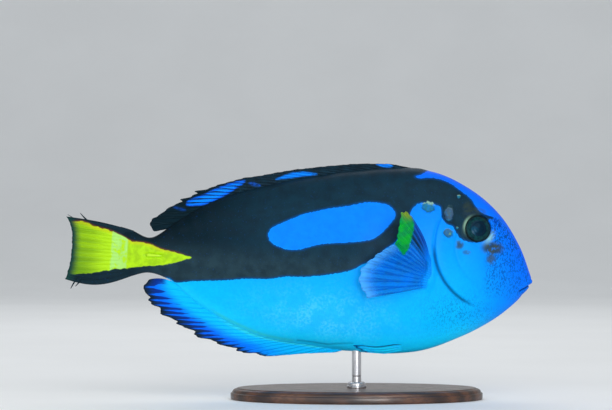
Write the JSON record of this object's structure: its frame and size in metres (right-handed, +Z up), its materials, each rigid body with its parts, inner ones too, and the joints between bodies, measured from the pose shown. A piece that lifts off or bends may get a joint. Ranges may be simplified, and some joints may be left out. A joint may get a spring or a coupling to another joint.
{
  "type": "regal blue tang",
  "caption": "Life-size regal blue tang swimming slightly nose-down, with spread pectoral fins, folded back fin and yellow tail, on a low stand.",
  "frame": {"origin": "centre of the underside of the stand's base, under the rod", "axes": "+X towards the fish's head, +Y towards its left side, +Z up"},
  "size_m": [0.2008, 0.0834, 0.1009],
  "materials": {
    "skin_blue": "wet satin scales in cyan and blue, with a black palette mark along the flank",
    "tail_yellow": "satin yellow with black borders",
    "fin_dark": "satin near-black fin with blue streaks",
    "fin_blue": "satin blue fin with darker rays",
    "eye": "wet and glossy",
    "spine_bone": "smooth pale bone",
    "base_wood": "dark satin hardwood",
    "rod_steel": "brushed"
  },
  "bodies": {
    "root": {"head": "skin_blue", "lower_jaw": "skin_blue", "gill_cover_right": "skin_blue", "gill_cover_left": "skin_blue", "torso": "skin_blue", "tail_stalk": "tail_yellow", "dorsal_fin": "fin_dark", "anal_fin": "fin_blue", "caudal_fin": "tail_yellow", "pectoral_fin_right": "fin_blue", "pectoral_fin_left": "fin_blue", "pelvic_fin_right": "fin_blue", "pelvic_fin_left": "fin_blue", "eye_right": "eye", "eye_left": "eye", "tail_spine_right": "spine_bone", "tail_spine_left": "spine_bone", "stand_base": "base_wood", "stand_collar": "rod_steel", "stand_rod": "rod_steel"}
  },
  "joints": []
}
